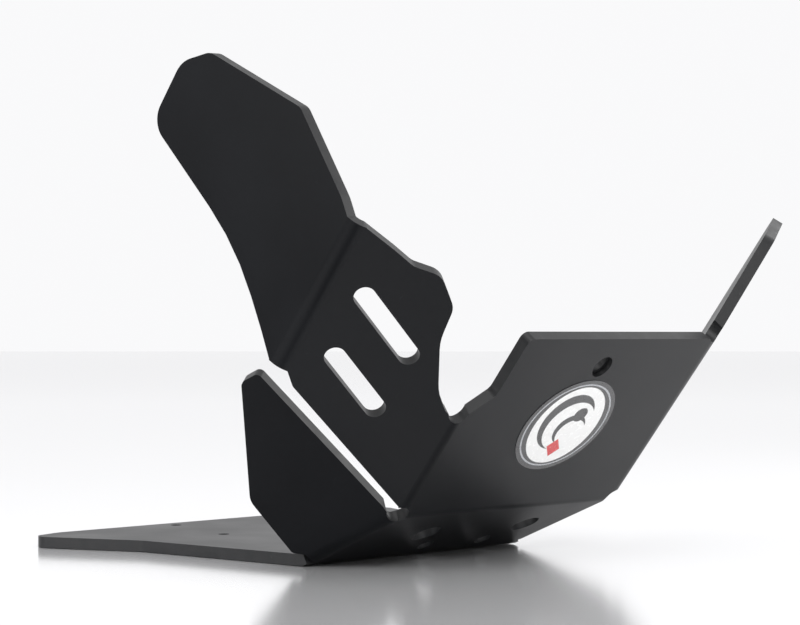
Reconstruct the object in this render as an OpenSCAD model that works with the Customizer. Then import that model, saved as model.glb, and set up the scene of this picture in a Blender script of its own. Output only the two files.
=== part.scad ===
// Motorcycle skid plate: one thick plastic sheet, routed to its outline and
// heat folded, with a printed oval sticker on the front panel.
// Frame: +Z up, the front faces -Y, +X is the rider's left-to-right axis with
// the guard arm on the -X side. The origin is on the underside of the bottom
// plate, midway between the front pair of its mounting holes.

/* [Sheet] */
// Thickness of the plastic sheet
sheet_t = 8; // [6:0.5:10]
// Inside radius of every fold
bend_r = 6; // [4:0.5:9]
// Radius of the relief holes at the ends of the folds
relief_r = 7.5; // [6:0.5:9]

/* [Bottom plate] */
// Length of the bottom plate behind its front fold
bottom_l = 247; // [220:1:280]
// Half width of the bottom plate at its rear corners
rear_half_w = 186; // [165:1:200]
// How far the rear corners stand forward of the rear edge
rear_sweep = 11; // [0:1:25]
// Half width of the bottom plate where the rear flare starts
waist_half_w = 148.5; // [138:0.5:160]
// Distance of the flare start behind the front fold
waist_back = 153; // [120:1:175]
// Distance of the fold's guard side end from the centre plane
fold_left = 133; // [126:1:140]
// Distance of the fold's other end from the centre plane
fold_right = 84; // [78:1:96]
// Radius of the rounded rear corners
rear_corner_r = 12; // [5:1:20]
// Radius of the rear mounting holes
rear_hole_r = 4.25; // [3:0.25:6]
// Spacing of the front pair of mounting holes
front_pair_w = 150; // [120:1:180]
// Distance of the front pair behind the fold
front_pair_back = 148; // [130:1:165]
// Spacing of the rear pair of mounting holes
rear_pair_w = 104; // [70:1:140]
// Distance of the rear pair ahead of the rear edge
rear_pair_in = 16; // [12:1:40]

/* [Rising strip] */
// Length of the strip between the bottom and the front panel
rise_l = 79; // [70:1:90]
// Angle of the strip above the ground
rise_angle = 27; // [20:1:32]
// Radius of the two large drain holes
drain_big_r = 11; // [8:0.5:13]
// Spacing of the large drain holes
drain_big_w = 104; // [80:1:120]
// Distance of the large drain holes from the rear fold
drain_big_up = 42; // [34:1:50]
// Radius of the two small drain holes
drain_small_r = 6.5; // [4:0.5:9]
// Spacing of the small drain holes
drain_small_w = 60; // [40:1:70]
// Distance of the small drain holes from the rear fold
drain_small_up = 18; // [14:1:24]

/* [Front panel] */
// Height of the front panel along its slope
front_h = 150; // [142:1:165]
// Half width of the front panel between its side folds
front_half_w = 112; // [108:1:120]
// Fold angle between the strip and the front panel
front_angle = 24.5; // [18:0.5:30]
// Half width of the front panel above the pipe notch
notch_half_w = 88; // [75:1:98]
// Height of the corner of the pipe notch
notch_up = 104; // [100:1:115]
// Height of the relief hole at the foot of the pipe notch
notch_relief_up = 88; // [80:1:94]
// Radius of the counterbore of the front mounting hole
front_bore_r = 8.5; // [7:0.25:11]
// Radius of the front mounting hole
front_hole_r = 6; // [4:0.25:6.5]
// Depth of the counterbore
front_bore_depth = 4; // [2:0.5:5]
// Distance of the front mounting hole below the top edge
front_hole_down = 24; // [16:1:30]
// Offset of the front mounting hole from the centre plane
front_hole_side = 3; // [-20:1:20]

/* [Side wings] */
// Fold angle of the side wings
wing_angle = 28; // [20:1:34]
// Width of a side wing from the front panel fold to the arm fold
wing_w = 127; // [120:1:140]
// Height of the slit edge at the front panel fold
slit_foot = 5; // [2:1:10]
// Angle of the slit edge across the wing
slit_angle = 30.5; // [26:0.5:34]
// Height of the top edge of the wing at the arm fold
wing_h = 191; // [185:1:200]
// Height of the rounded shoulder of the wing
shoulder_h = 177; // [172:1:182]
// Distance of the shoulder from the front panel fold
shoulder_out = 46; // [42:1:52]

/* [Plain wing] */
// Fold angle of the plain wing
plain_angle = 32; // [26:1:36]
// Distance of the tip of the plain wing from its fold
plain_out = 118; // [105:1:126]
// Height of the tip of the plain wing
plain_h = 210; // [202:1:216]
// Distance of the shoulder of the plain wing from its fold
plain_shoulder_out = 71; // [62:1:80]
// Distance from the fold at which its rear edge leaves the slit edge
plain_root_out = 44; // [34:1:60]
// Height of the relief hole above the top edge of the front panel
plain_relief_up = 4; // [2:0.5:5]

/* [Slots] */
// Width of the two long slots
slot_w = 14; // [10:0.5:18]
// Length of the upper slot
slot_upper_l = 68; // [50:1:74]
// Length of the lower slot
slot_lower_l = 63; // [50:1:70]
// Distance of the middle of the slots from the front panel fold
slot_out = 75.5; // [70:0.5:80]
// Height of the middle of the upper slot
slot_upper_up = 132; // [128:1:138]
// Height of the middle of the lower slot
slot_lower_up = 87; // [84:1:92]
// Angle of the slots across the wing
slot_angle = 32.5; // [26:0.5:36]

/* [Guard arm] */
// Fold angle of the guard arm
arm_angle = 56; // [44:1:62]
// Length of the guard arm beyond its fold
arm_l = 177; // [150:1:190]
// Height of the lower edge of the arm at its tip
arm_tip_low = 142; // [132:1:150]
// Rise of the upper corner at the tip above the top edge of the wing
arm_tip_rise = 12; // [6:1:20]
// Rise of the upper shoulder of the arm above the top edge of the wing
arm_shoulder_rise = 32; // [26:1:38]
// Distance of the upper shoulder from the fold
arm_shoulder_out = 76; // [65:1:90]
// Height of the lower edge of the arm at its fold
arm_root_low = 80; // [76:1:84]

/* [Lower wings] */
// Fold angle of the lower wings
lower_angle = 52; // [44:1:58]
// Height of the lower wings from their fold
lower_h = 134; // [110:1:140]
// Height of the knee on the rear edge of a lower wing
lower_knee = 59; // [45:1:75]
// Lean of the rear edge from the knee to the tip
lower_lean = 49; // [35:1:55]
// Width of the tip of a lower wing
lower_tip_w = 14; // [12:1:20]
// Gap between the heel of a lower wing and the rear fold's bend
lower_heel_gap = 3.5; // [3.5:0.5:6]
// Gap between the foot of a lower wing and the relief hole centre
lower_foot_gap = 5; // [3:0.5:7]

/* [Sticker] */
// Half width of the oval sticker
sticker_half_w = 44; // [30:0.5:50]
// Half height of the oval sticker
sticker_half_h = 39.5; // [28:0.5:45]
// Distance of the middle of the sticker below the top edge of the panel
sticker_down = 75; // [65:1:85]
// Offset of the sticker from the centre plane
sticker_side = 2.5; // [-20:0.5:20]
// Thickness of the sticker
sticker_t = 0.3; // [0.2:0.05:0.5]

/* [Hidden] */
$fn = 48;
bend_out_r = bend_r + sheet_t;
through = 4 * sheet_t;
plate_black = "#1c1d1f";
// How far a fold's faces lie inside the panels' faces, and its lap in degrees
hair = 0.05;
lap = 3;

// Distance from a fold's corner line to where the flat panel begins
function setback(angle) = bend_out_r * tan(angle / 2);

lower_heel = setback(rise_angle) + lower_heel_gap;
plain_relief = front_h + plain_relief_up;

// Direction and place helpers for the rounded outlines
function unit(v) = v / norm(v);
function xy(p) = [p[0], p[1]];
function turn(a) = a > 180 ? a - 360 : a < -180 ? a + 360 : a;
function heading(v) = atan2(v[1], v[0]);

// Points of one outline corner p[i] = [x, y, radius], as a tangent arc
function arc_points(c, r, from, sweep) =
    let (n = max(2, ceil(abs(sweep) / 8)))
    [for (k = [0:n]) c + r * [cos(from + sweep * k / n), sin(from + sweep * k / n)]];
function corner(a, b, c, r) =
    let (u = unit(a - b), v = unit(c - b), half = acos(u * v) / 2,
         mid = b + unit(u + v) * r / sin(half),
         first = b + u * r / tan(half), last = b + v * r / tan(half))
    arc_points(mid, r, heading(first - mid), turn(heading(last - mid) - heading(first - mid)));
function rounded(p) =
    let (n = len(p))
    [for (i = [0:n - 1]) each p[i][2] == 0 ? [xy(p[i])]
        : corner(xy(p[(i + n - 1) % n]), xy(p[i]), xy(p[(i + 1) % n]), p[i][2])];

// A flat panel with its outer face at z = 0
module panel(outline) {
    linear_extrude(height = sheet_t) polygon(rounded(outline));
}

// Places children on the fold line from a to b: their y runs along the line
// and their x runs across it
module along(a, b) {
    translate([a[0], a[1], 0]) rotate([0, 0, heading(b - a) - 90]) children();
}

// Turns children up round the fold line
module fold(angle) {
    rotate([0, -angle, 0]) children();
}

// The bent strip of a fold from y = low to y = high. Its ends lap into the flat
// panels, and its faces lie a hair inside theirs, so that they join as one solid
module bend(angle, low, high) {
    translate([-setback(angle), 0, bend_out_r])
        rotate([0, 90, 0]) rotate([90, 0, 0]) rotate([0, 0, -lap])
            rotate_extrude(angle = angle + 2 * lap, $fn = 72)
                translate([bend_r + hair, hair - high])
                    square([sheet_t - 2 * hair, high - low - 2 * hair]);
}

// A straight drill through the sheet at a place on a panel
module drill(p, r) {
    translate([p[0], p[1], -through / 2]) cylinder(r = r, h = through);
}

// A slot of the given overall length, centred on p
module slot(p, l, w, angle) {
    run = l - w;
    translate([p[0], p[1], -through / 2]) rotate([0, 0, angle]) {
        for (side = [-1, 1]) translate([side * run / 2, 0, 0]) cylinder(r = w / 2, h = through);
        translate([-run / 2, -w / 2, 0]) cube([run, w, through]);
    }
}

// Frames of the panels, in the order that the sheet is folded
module on_bottom() { rotate([0, 0, -90]) translate([front_pair_back, 0, 0]) children(); }
module on_strip() { on_bottom() fold(rise_angle) children(); }
module on_front() { on_strip() translate([rise_l, 0, 0]) fold(front_angle) children(); }
module on_side(angle) { along([0, -front_half_w], [1, -front_half_w]) fold(angle) children(); }
module on_wing() { on_side(wing_angle) children(); }
module on_arm() { on_wing() translate([wing_w, 0, 0]) fold(arm_angle) children(); }
module on_lower(root) { along([0, -root], [rise_l, -front_half_w]) fold(lower_angle) children(); }
module other_side() { mirror([0, 1, 0]) children(); }

module bottom_panel() {
    start = -setback(rise_angle);
    panel([
        [start, -fold_left, 0], [-waist_back, -waist_half_w, 20],
        [rear_sweep - bottom_l, -rear_half_w, rear_corner_r],
        [-bottom_l, -rear_half_w + 3 * rear_sweep, 30],
        [-bottom_l, rear_half_w - 3 * rear_sweep, 30],
        [rear_sweep - bottom_l, rear_half_w, rear_corner_r],
        [-waist_back, waist_half_w, 20], [start, fold_right, 0]
    ]);
}

// Where the flat of the strip ends beside a lower wing's fold
function strip_side(root, up) =
    let (lean = heading([rise_l, root - front_half_w]))
    root + (front_half_w - root) * up / rise_l - setback(lower_angle) / cos(lean);

module strip_panel() {
    low = setback(rise_angle);
    high = rise_l - setback(front_angle);
    panel([
        [low, -strip_side(fold_left, low), 0], [high, -strip_side(fold_left, high), 0],
        [high, strip_side(fold_right, high), 0], [low, strip_side(fold_right, low), 0]
    ]);
}

module front_panel() {
    low = setback(front_angle);
    side = front_half_w - setback(wing_angle);
    plain = front_half_w - setback(plain_angle);
    panel([
        [low, -side, 0], [notch_relief_up, -side, 0],
        [notch_relief_up, relief_r - front_half_w, 0],
        [notch_up, -notch_half_w, 8], [front_h, -notch_half_w, 5],
        [front_h, plain, 0], [low, plain, 0]
    ]);
}

// Outline of the guard side wing, counted from the front panel fold
module wing_panel() {
    low = setback(wing_angle);
    high = wing_w - setback(arm_angle);
    rise = tan(slit_angle);
    panel([
        [low, slit_foot + low * rise, 0], [high - 8, slit_foot + (high - 8) * rise, 6],
        [high, arm_root_low, 0], [high, wing_h, 0], [high - 24, wing_h - 8, 20],
        [high - 40, shoulder_h, 12], [shoulder_out + 14, shoulder_h, 14],
        [shoulder_out - 4, shoulder_h - 18, 14], [shoulder_out - 7, shoulder_h - 43, 40],
        [shoulder_out - 24, shoulder_h - 78, 40], [relief_r + 3, notch_relief_up - 1, 10],
        [low, notch_relief_up - relief_r / 2, 0]
    ]);
}

// The other wing has no slots and no arm. It sweeps back and up to a blunt tip
module plain_wing_panel() {
    low = setback(plain_angle);
    rise = tan(slit_angle);
    panel([
        [low, slit_foot + low * rise, 0], [plain_root_out, slit_foot + plain_root_out * rise, 14],
        [plain_out, plain_h - 10, 4], [plain_out, plain_h, 1.5],
        [plain_shoulder_out, plain_h, 16], [low, plain_relief, 0]
    ]);
}

module arm_panel() {
    low = setback(arm_angle);
    belly = (arm_root_low + arm_tip_low) / 2 + 8;
    panel([
        [low, arm_root_low, 0], [low + 16, arm_root_low + 11, 30],
        [arm_l * 0.4, belly + 2, 180], [arm_l, arm_tip_low, 16], [arm_l, wing_h + arm_tip_rise - 14, 20],
        [arm_l - 18, wing_h + arm_tip_rise + 5, 12], [arm_shoulder_out, wing_h + arm_shoulder_rise, 9],
        [low + 10, wing_h + 6.5, 30], [low, wing_h, 0]
    ]);
}

module lower_panel(root) {
    low = setback(lower_angle);
    reach = norm([rise_l, root - front_half_w]);
    foot = reach - lower_foot_gap;
    tip = lower_lean + lower_tip_w;
    panel([
        [low, lower_heel, 0], [low + 5, lower_heel - 7, 4], [lower_knee, lower_heel - 8, 14], [lower_h, lower_lean, 6],
        [lower_h, tip, 4], [low + 6, foot, 4], [low, foot, 0]
    ]);
}

// Relief holes where folds meet or end, along the mean direction of the panels
module corner_relief(angle) {
    translate([rise_l, -front_half_w, 0]) along([0, 0], [1, 0])
        fold(angle / 2) rotate([front_angle / 2, 0, 0]) drill([0, 0], relief_r);
}
module wing_relief(up, angle) {
    along([up, -front_half_w], [up + 1, -front_half_w]) fold(angle / 2) drill([0, 0], relief_r);
}

module side_bend(angle, high) {
    along([0, -front_half_w], [1, -front_half_w]) bend(angle, slit_foot, high);
}

module lower_wing(root) {
    on_lower(root) lower_panel(root);
    along([0, -root], [rise_l, -front_half_w])
        bend(lower_angle, lower_heel, norm([rise_l, root - front_half_w]) - lower_foot_gap);
}

module guard_side() {
    difference() {
        union() {
            side_bend(wing_angle, notch_relief_up);
            on_wing() wing_panel();
            on_wing() translate([wing_w, 0, 0]) bend(arm_angle, arm_root_low, wing_h);
            on_arm() arm_panel();
        }
        on_wing() slot([slot_out, slot_upper_up], slot_upper_l, slot_w, slot_angle);
        on_wing() slot([slot_out, slot_lower_up], slot_lower_l, slot_w, slot_angle);
        wing_relief(notch_relief_up, wing_angle);
    }
}

module plain_side() {
    difference() {
        union() {
            side_bend(plain_angle, plain_relief);
            on_side(plain_angle) plain_wing_panel();
        }
        wing_relief(plain_relief, plain_angle);
    }
}

module skid_plate() {
    color(plate_black) difference() {
        union() {
            on_bottom() bottom_panel();
            on_bottom() bend(rise_angle, -fold_left, fold_right);
            on_strip() strip_panel();
            on_strip() translate([rise_l, 0, 0])
                bend(front_angle, relief_r / 2 - front_half_w, front_half_w - relief_r / 2);
            on_front() front_panel();
            on_front() guard_side();
            on_front() other_side() plain_side();
            on_strip() lower_wing(fold_left);
            on_strip() other_side() lower_wing(fold_right);
        }
        on_strip() corner_relief(wing_angle);
        on_strip() other_side() corner_relief(plain_angle);
        on_front() wing_relief(notch_relief_up, wing_angle);
        on_front() other_side() wing_relief(plain_relief, plain_angle);
        on_bottom() for (side = [-1, 1]) {
            drill([-front_pair_back, side * front_pair_w / 2], rear_hole_r);
            drill([rear_pair_in - bottom_l, side * rear_pair_w / 2], rear_hole_r);
        }
        on_strip() for (side = [-1, 1]) {
            drill([drain_big_up, side * drain_big_w / 2], drain_big_r);
            drill([drain_small_up, side * drain_small_w / 2], drain_small_r);
        }
        on_front() drill([front_h - front_hole_down, front_hole_side], front_hole_r);
        on_front() translate([front_h - front_hole_down, front_hole_side, -sheet_t])
            cylinder(r = front_bore_r, h = sheet_t + front_bore_depth);
    }
}

module oval_sticker() {
    color("white") on_front() translate([front_h - sticker_down, sticker_side, -sticker_t])
        linear_extrude(height = sticker_t)
            polygon([for (a = [0:5:355]) [sticker_half_h * cos(a), sticker_half_w * sin(a)]]);
}

skid_plate();
oval_sticker();
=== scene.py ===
import bpy, math
from mathutils import Vector, Matrix
from mathutils.bvhtree import BVHTree


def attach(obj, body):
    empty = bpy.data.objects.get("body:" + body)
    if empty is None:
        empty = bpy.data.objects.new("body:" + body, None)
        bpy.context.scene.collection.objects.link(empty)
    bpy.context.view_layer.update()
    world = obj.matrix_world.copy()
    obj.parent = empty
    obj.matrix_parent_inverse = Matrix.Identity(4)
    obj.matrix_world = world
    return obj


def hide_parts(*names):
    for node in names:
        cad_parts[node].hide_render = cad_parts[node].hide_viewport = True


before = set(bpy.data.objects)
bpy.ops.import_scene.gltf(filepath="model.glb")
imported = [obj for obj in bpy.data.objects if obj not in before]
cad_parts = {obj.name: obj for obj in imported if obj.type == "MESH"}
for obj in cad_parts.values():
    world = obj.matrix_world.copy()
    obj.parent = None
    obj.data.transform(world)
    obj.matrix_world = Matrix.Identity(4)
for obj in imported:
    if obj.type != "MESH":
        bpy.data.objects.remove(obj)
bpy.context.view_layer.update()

bpy.ops.object.select_all(action="DESELECT")
scene = bpy.context.scene
mm = 0.001


def addGroup(name, inputs, outputs):
    # shader node group with named sockets, each as (name, kind, default)
    tree = bpy.data.node_groups.new(name, "ShaderNodeTree")
    for label, kind, value in inputs:
        item = tree.interface.new_socket(label, in_out="INPUT", socket_type=kind)
        if value is not None:
            item.default_value = value
    for label, kind in outputs:
        tree.interface.new_socket(label, in_out="OUTPUT", socket_type=kind)
    start = tree.nodes.new("NodeGroupInput")
    end = tree.nodes.new("NodeGroupOutput")
    return tree, start, end


def addMath(tree, operation, first, second, clamp=False):
    node = tree.nodes.new("ShaderNodeMath")
    node.operation = operation
    node.use_clamp = clamp
    for slot, value in ((0, first), (1, second)):
        if isinstance(value, (int, float)):
            node.inputs[slot].default_value = value
        elif value is not None:
            tree.links.new(value, node.inputs[slot])
    return node.outputs[0]


def addNoise(tree, vector, scale, detail, roughness=0.5):
    node = tree.nodes.new("ShaderNodeTexNoise")
    node.inputs["Scale"].default_value = scale
    node.inputs["Detail"].default_value = detail
    node.inputs["Roughness"].default_value = roughness
    tree.links.new(vector, node.inputs["Vector"])
    return node.outputs["Fac"]


def addRange(tree, value, low, high, toLow, toHigh):
    node = tree.nodes.new("ShaderNodeMapRange")
    tree.links.new(value, node.inputs["Value"])
    for label, number in (("From Min", low), ("From Max", high), ("To Min", toLow), ("To Max", toHigh)):
        node.inputs[label].default_value = number
    return node.outputs["Result"]


def addMix(tree, factor, first, second):
    node = tree.nodes.new("ShaderNodeMix")
    node.data_type = "RGBA"
    if isinstance(factor, (int, float)):
        node.inputs["Factor"].default_value = factor
    else:
        tree.links.new(factor, node.inputs["Factor"])
    for slot, value in ((6, first), (7, second)):
        if isinstance(value, tuple):
            node.inputs[slot].default_value = value
        else:
            tree.links.new(value, node.inputs[slot])
    return node.outputs[2]


# camera and stage
view = {
    "focal": 94.5, "sensor": 36.0, "frameW": 800, "frameH": 625,
    "eyeHeight": 156.0, "horizonY": 335.0,
    "frontRight": (0.716, -0.698), "sideRight": (0.698, 0.716),
    "cornerPixel": (303.0, 566.0), "cornerSide": -133.0, "cornerBack": -148.0,
}


def makeCamera():
    pixelF = view["focal"] / view["sensor"] * view["frameW"]
    tilt = math.atan((view["horizonY"] - view["frameH"] / 2) / pixelF)
    depth = pixelF * view["eyeHeight"] / (view["cornerPixel"][1] - view["horizonY"])
    across = (view["cornerPixel"][0] - view["frameW"] / 2) / pixelF * depth
    front = Vector(view["frontRight"]).normalized()
    side = Vector(view["sideRight"]).normalized()
    # camera axes written in the part's frame: +X is side, -Y is front
    right = Vector((side.x, -front.x, 0))
    ahead = Vector((side.y, -front.y, 0))
    corner = Vector((view["cornerSide"], view["cornerBack"], 0))
    eye = corner - right * across - ahead * depth + Vector((0, 0, view["eyeHeight"]))
    forward = ahead * math.cos(tilt) + Vector((0, 0, math.sin(tilt)))
    up = right.cross(forward)
    data = bpy.data.cameras.new("camera")
    data.lens = view["focal"]
    data.sensor_width = view["sensor"]
    data.clip_end = 20
    camera = bpy.data.objects.new("camera", data)
    turn = Matrix((right, up, -forward)).transposed().to_4x4()
    camera.matrix_world = Matrix.Translation(eye * mm) @ turn
    scene.collection.objects.link(camera)
    scene.camera = camera
    print("camera", [round(v) for v in eye])
    return right, ahead


rightWay, aheadWay = makeCamera()

stage = {"size": 60.0, "middle": -0.1, "drop": 0.0004, "grey": 0.97, "blue": 1.01, "sheen": 0.6, "rough": 0.15}


def makeFloor():
    bpy.ops.mesh.primitive_plane_add(size=stage["size"], location=(0, stage["middle"], -stage["drop"]))
    floor = bpy.context.object
    floor.name = "floor"
    material = bpy.data.materials.new("whiteTable")
    material.use_nodes = True
    tree = material.node_tree
    shader = tree.nodes["Principled BSDF"]
    grey = stage["grey"]
    shader.inputs["Base Color"].default_value = (grey, grey, grey * stage["blue"], 1)
    shader.inputs["Roughness"].default_value = stage["rough"]
    shader.inputs["Metallic"].default_value = stage["sheen"]
    floor.data.materials.append(material)
    print("floor laid")


makeFloor()

card = {"behind": 1.3, "wide": 5.0, "tall": 3.4, "middle": 1.5, "grey": 0.012}


def makeDarkCard():
    # the dark room behind the photographer, seen only in the gloss of the sheet
    spot = scene.camera.matrix_world.translation - aheadWay * card["behind"]
    bpy.ops.mesh.primitive_plane_add(size=1.0, location=(0, 0, 0))
    panel = bpy.context.object
    panel.name = "dark_card"
    turn = Matrix((rightWay, Vector((0, 0, 1)), -aheadWay)).transposed().to_4x4()
    size = Matrix.Diagonal((card["wide"], card["tall"], 1.0, 1.0))
    panel.data.transform(Matrix.Translation((spot.x, spot.y, card["middle"])) @ turn @ size)
    material = bpy.data.materials.new("darkCloth")
    material.use_nodes = True
    shader = material.node_tree.nodes["Principled BSDF"]
    shader.inputs["Base Color"].default_value = (card["grey"], card["grey"], card["grey"], 1)
    shader.inputs["Roughness"].default_value = 1.0
    shader.inputs["Specular IOR Level"].default_value = 0.0
    panel.data.materials.append(material)
    panel.visible_camera = False
    panel.visible_diffuse = False
    panel.visible_shadow = False
    print("dark card set")


makeDarkCard()

lamps = {
    "key": {"spot": (-0.5, -0.9, 1.3), "size": 1.2, "watts": 16.0},
    "left": {"spot": (-1.3, 0.1, 0.6), "size": 1.0, "watts": 9.0},
    "right": {"spot": (1.1, -0.6, 0.5), "size": 1.0, "watts": 8.0},
}
lampAim = (0.0, -0.12, 0.12)
room = {"colour": (0.97, 0.97, 0.98, 1), "light": 0.75, "seen": 0.98}


def makeLamps():
    aim = Vector(lampAim)
    for name, lamp in lamps.items():
        data = bpy.data.lights.new(name, "AREA")
        data.size = lamp["size"]
        data.energy = lamp["watts"]
        spot = Vector(lamp["spot"])
        light = bpy.data.objects.new(name, data)
        turn = (aim - spot).to_track_quat("-Z", "Y").to_matrix().to_4x4()
        light.matrix_world = Matrix.Translation(spot) @ turn
        scene.collection.objects.link(light)
    print("lamps", len(lamps))


def makeRoom():
    world = bpy.data.worlds.new("studio")
    world.use_nodes = True
    scene.world = world
    tree = world.node_tree
    background = tree.nodes["Background"]
    background.inputs["Color"].default_value = room["colour"]
    path = tree.nodes.new("ShaderNodeLightPath")
    seen = addMath(tree, "MAXIMUM", path.outputs["Is Camera Ray"], path.outputs["Is Glossy Ray"])
    strength = addRange(tree, seen, 0.0, 1.0, room["light"], room["seen"])
    tree.links.new(strength, background.inputs["Strength"])
    print("room lit")


makeLamps()
makeRoom()
scene.view_settings.view_transform = "Standard"


plastic = {
    "black": (0.0034, 0.0037, 0.0047, 1), "grey": (0.0050, 0.0055, 0.0068, 1),
    "scuff": (0.010, 0.011, 0.013, 1), "rough": 0.33, "roughSpread": 0.03, "gloss": 0.07,
    "cloud": 16.0, "grain": 1400.0, "grainHeight": 0.00002,
}
routed = {
    "black": (0.012, 0.0125, 0.0135, 1), "grey": (0.020, 0.020, 0.021, 1),
    "scuff": (0.05, 0.05, 0.05, 1), "rough": 0.40, "roughSpread": 0.06, "gloss": 0.22,
    "cloud": 90.0, "grain": 700.0, "grainHeight": 0.00012,
}
bumpFirm = 0.3  # strength of the grain on both finishes
sheetIor = 1.54
mottle = {
    "cloudDetail": 4.0, "cloudRange": (0.3, 0.7),
    "scuffStretch": (260.0, 30.0, 44.0), "scuffDetail": 5.0, "scuffRough": 0.7, "scuffRange": (0.66, 0.74),
}


def makeMottleGroup():
    # cloudy tone of moulded sheet, with fine scuffs, both as masks
    tree, start, end = addGroup(
        "sheetMottle",
        [("Vector", "NodeSocketVector", None), ("Cloud Scale", "NodeSocketFloat", plastic["cloud"])],
        [("Cloud", "NodeSocketFloat"), ("Scuff", "NodeSocketFloat")])
    cloud = tree.nodes.new("ShaderNodeTexNoise")
    cloud.inputs["Detail"].default_value = mottle["cloudDetail"]
    tree.links.new(start.outputs["Vector"], cloud.inputs["Vector"])
    tree.links.new(start.outputs["Cloud Scale"], cloud.inputs["Scale"])
    clouds = addRange(tree, cloud.outputs["Fac"], *mottle["cloudRange"], 0.0, 1.0)
    tree.links.new(clouds, end.inputs["Cloud"])
    stretch = tree.nodes.new("ShaderNodeVectorMath")
    stretch.operation = "MULTIPLY"
    stretch.inputs[1].default_value = mottle["scuffStretch"]
    tree.links.new(start.outputs["Vector"], stretch.inputs[0])
    lines = addNoise(tree, stretch.outputs[0], 1.0, mottle["scuffDetail"], mottle["scuffRough"])
    scuffs = addRange(tree, lines, *mottle["scuffRange"], 0.0, 1.0)
    tree.links.new(scuffs, end.inputs["Scuff"])
    return tree


def makePlastic(name, finish, group):
    material = bpy.data.materials.new(name)
    material.use_nodes = True
    tree = material.node_tree
    shader = tree.nodes["Principled BSDF"]
    place = tree.nodes.new("ShaderNodeTexCoord").outputs["Object"]
    clouds = tree.nodes.new("ShaderNodeGroup")
    clouds.node_tree = group
    clouds.inputs["Cloud Scale"].default_value = finish["cloud"]
    tree.links.new(place, clouds.inputs["Vector"])
    base = addMix(tree, clouds.outputs["Cloud"], finish["black"], finish["grey"])
    colour = addMix(tree, clouds.outputs["Scuff"], base, finish["scuff"])
    tree.links.new(colour, shader.inputs["Base Color"])
    low, high = finish["rough"] - finish["roughSpread"], finish["rough"] + finish["roughSpread"]
    dull = addRange(tree, clouds.outputs["Cloud"], 0.0, 1.0, low, high)
    tree.links.new(dull, shader.inputs["Roughness"])
    bump = tree.nodes.new("ShaderNodeBump")
    bump.inputs["Strength"].default_value = bumpFirm
    bump.inputs["Distance"].default_value = finish["grainHeight"]
    tree.links.new(addNoise(tree, place, finish["grain"], 2.0), bump.inputs["Height"])
    tree.links.new(bump.outputs["Normal"], shader.inputs["Normal"])
    shader.inputs["Specular IOR Level"].default_value = finish["gloss"]
    shader.inputs["IOR"].default_value = sheetIor
    return material


mottleGroup = makeMottleGroup()
sheetPlastic = makePlastic("blackSheet", plastic, mottleGroup)
edgePlastic = makePlastic("routedEdge", routed, mottleGroup)

sheet = {
    "thick": 0.008, "slack": 0.0006, "lift": 0.00002, "facing": -0.9,
    "merge": 0.00008, "flatten": 0.6, "arris": 0.0007, "arrisSteps": 3, "arrisAngle": 40,
    "smoothAngle": 30, "evenWeight": 100,
}


def markRoutedEdges(piece):
    # a sheet face has the other face one thickness behind it, a routed edge hasn't
    mesh = piece.data
    mesh.calc_loop_triangles()
    points = [v.co for v in mesh.vertices]
    tree = BVHTree.FromPolygons(points, [t.vertices[:] for t in mesh.loop_triangles])
    widest = {}
    for triangle in mesh.loop_triangles:
        best = widest.get(triangle.polygon_index)
        if best is None or triangle.area > best.area:
            widest[triangle.polygon_index] = triangle
    count = 0
    for index, triangle in widest.items():
        face = mesh.polygons[index]
        middle = sum((points[corner] for corner in triangle.vertices), Vector()) / 3
        hit, normal, other, depth = tree.ray_cast(middle - face.normal * sheet["lift"], -face.normal)
        flat = hit is not None and abs(depth - sheet["thick"]) < sheet["slack"]
        flat = flat and normal.dot(face.normal) < sheet["facing"]
        face.material_index = 0 if flat else 1
        count += not flat
    print("routed faces", count, "of", len(mesh.polygons))


def makeSheet():
    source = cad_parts["skid_plate"]
    piece = source.copy()
    piece.data = source.data.copy()
    piece.parent = None
    piece.matrix_world = Matrix.Identity(4)
    piece.name = "folded_sheet"
    scene.collection.objects.link(piece)
    bpy.ops.object.select_all(action="DESELECT")
    piece.select_set(True)
    bpy.context.view_layer.objects.active = piece
    bpy.ops.object.mode_set(mode="EDIT")
    bpy.ops.mesh.select_all(action="SELECT")
    bpy.ops.mesh.remove_doubles(threshold=sheet["merge"])
    bpy.ops.mesh.dissolve_limited(angle_limit=math.radians(sheet["flatten"]))
    bpy.ops.object.mode_set(mode="OBJECT")
    piece.data.materials.clear()
    piece.data.materials.append(sheetPlastic)
    piece.data.materials.append(edgePlastic)
    markRoutedEdges(piece)
    bevel = piece.modifiers.new("arris", "BEVEL")
    bevel.width = sheet["arris"]
    bevel.segments = sheet["arrisSteps"]
    bevel.limit_method = "ANGLE"
    bevel.angle_limit = math.radians(sheet["arrisAngle"])
    bpy.ops.object.modifier_apply(modifier="arris")
    bpy.ops.object.shade_smooth_by_angle(angle=math.radians(sheet["smoothAngle"]))
    even = piece.modifiers.new("even", "WEIGHTED_NORMAL")
    even.keep_sharp = True
    even.weight = sheet["evenWeight"]
    bpy.ops.object.modifier_apply(modifier="even")
    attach(piece, "root")
    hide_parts("skid_plate")
    print("sheet", len(piece.data.polygons), "faces")


makeSheet()

sticker = {
    "centre": (0.0025, -0.26508, 0.09456), "sideWay": (1.0, 0.0, 0.0), "upWay": (0.0, -0.62251, 0.78261),
    "rim": (0, 0, 44.0, 39.5), "outline": (0.885, 0.915), "field": (0, 0, 33.8, 33.5), "soft": 0.25,
    "black": (0.010, 0.010, 0.012, 1), "grey": (0.36, 0.37, 0.39, 1),
    "white": (0.80, 0.80, 0.79, 1), "red": (0.55, 0.012, 0.015, 1),
    "speck": 300.0, "speckDetail": 2.0, "speckRange": (0.3, 0.7), "rough": (0.2, 0.3), "gloss": 0.3,
}
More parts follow.
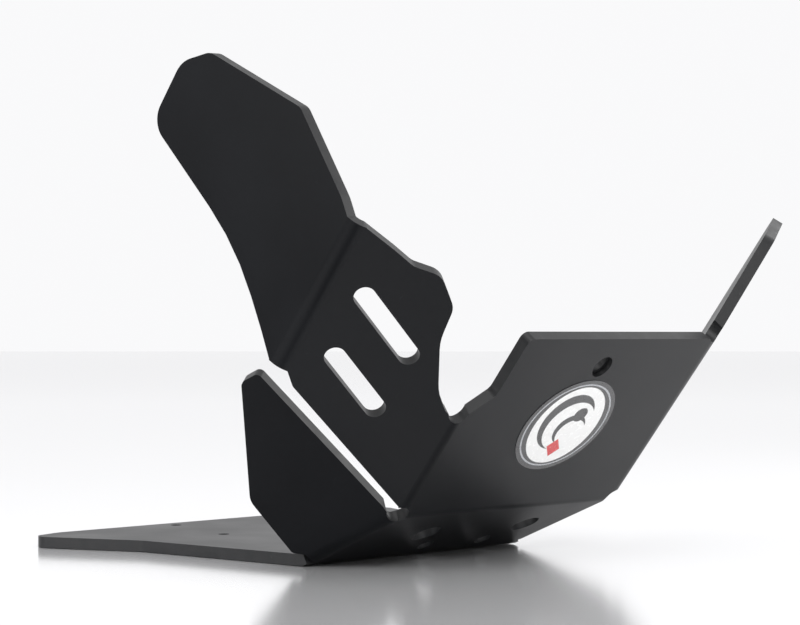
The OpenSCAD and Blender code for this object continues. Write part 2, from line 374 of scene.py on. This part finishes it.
# each curve is an outer oval less an inner one, as side, up, half width and half height in mm
artCurves = [((-2, 3, 25, 24), (3, -1, 23, 21)), ((6, -4, 15, 13), (9, -7, 13.5, 11.5))]
artDisc = (9, 9, 6.5, 6)
artDiamond = [(40, -17.0), (220, 7.0), (130, -22.0), (310, 10.0)]  # angle and offset of its sides


def makeVinyl():
    material = bpy.data.materials.new("printedVinyl")
    material.use_nodes = True
    tree = material.node_tree
    shader = tree.nodes["Principled BSDF"]
    place = tree.nodes.new("ShaderNodeTexCoord").outputs["Object"]
    shift = tree.nodes.new("ShaderNodeVectorMath")
    shift.operation = "SUBTRACT"
    tree.links.new(place, shift.inputs[0])
    shift.inputs[1].default_value = sticker["centre"]

    def along(way):
        # distance from the sticker's middle along one direction, in millimetres
        dot = tree.nodes.new("ShaderNodeVectorMath")
        dot.operation = "DOT_PRODUCT"
        tree.links.new(shift.outputs[0], dot.inputs[0])
        dot.inputs[1].default_value = [part / mm for part in way]
        return dot.outputs["Value"]

    across, upward = along(sticker["sideWay"]), along(sticker["upWay"])

    def oval(x, y, halfX, halfY):
        # 0 at its middle and 1 on its rim
        u = addMath(tree, "DIVIDE", addMath(tree, "SUBTRACT", across, x), halfX)
        v = addMath(tree, "DIVIDE", addMath(tree, "SUBTRACT", upward, y), halfY)
        square = addMath(tree, "ADD", addMath(tree, "MULTIPLY", u, u), addMath(tree, "MULTIPLY", v, v))
        return addMath(tree, "SQRT", square, None)

    def inside(shape, edge=1.0):
        soft = sticker["soft"] / shape[2]
        return addRange(tree, oval(*shape), edge - soft, edge + soft, 1.0, 0.0)

    def side(angle, offset):
        # mask of the half plane beyond a line
        turn = math.radians(angle)
        part = addMath(tree, "MULTIPLY", across, math.cos(turn))
        other = addMath(tree, "MULTIPLY", upward, math.sin(turn))
        soft = sticker["soft"]
        return addRange(tree, addMath(tree, "ADD", part, other), offset - soft, offset + soft, 0.0, 1.0)

    def paint(mask, under, ink):
        return addMix(tree, mask, under, sticker[ink])

    lineIn, lineOut = sticker["outline"]
    line = addMath(tree, "SUBTRACT", inside(sticker["rim"], lineOut), inside(sticker["rim"], lineIn), True)
    colour = paint(line, sticker["black"], "grey")
    colour = paint(inside(sticker["field"]), colour, "white")
    for outer, inner in artCurves:
        colour = paint(addMath(tree, "SUBTRACT", inside(outer), inside(inner), True), colour, "black")
    colour = paint(inside(artDisc), colour, "black")
    diamond = 1.0
    for angle, offset in artDiamond:
        diamond = addMath(tree, "MULTIPLY", side(angle, offset), diamond)
    colour = paint(diamond, colour, "red")
    tree.links.new(colour, shader.inputs["Base Color"])
    speck = addNoise(tree, place, sticker["speck"], sticker["speckDetail"])
    dull = addRange(tree, speck, *sticker["speckRange"], *sticker["rough"])
    tree.links.new(dull, shader.inputs["Roughness"])
    shader.inputs["Specular IOR Level"].default_value = sticker["gloss"]
    return material


vinyl = makeVinyl()
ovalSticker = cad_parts["oval_sticker"]
ovalSticker.data.materials.clear()
ovalSticker.data.materials.append(vinyl)
print("sticker dressed")
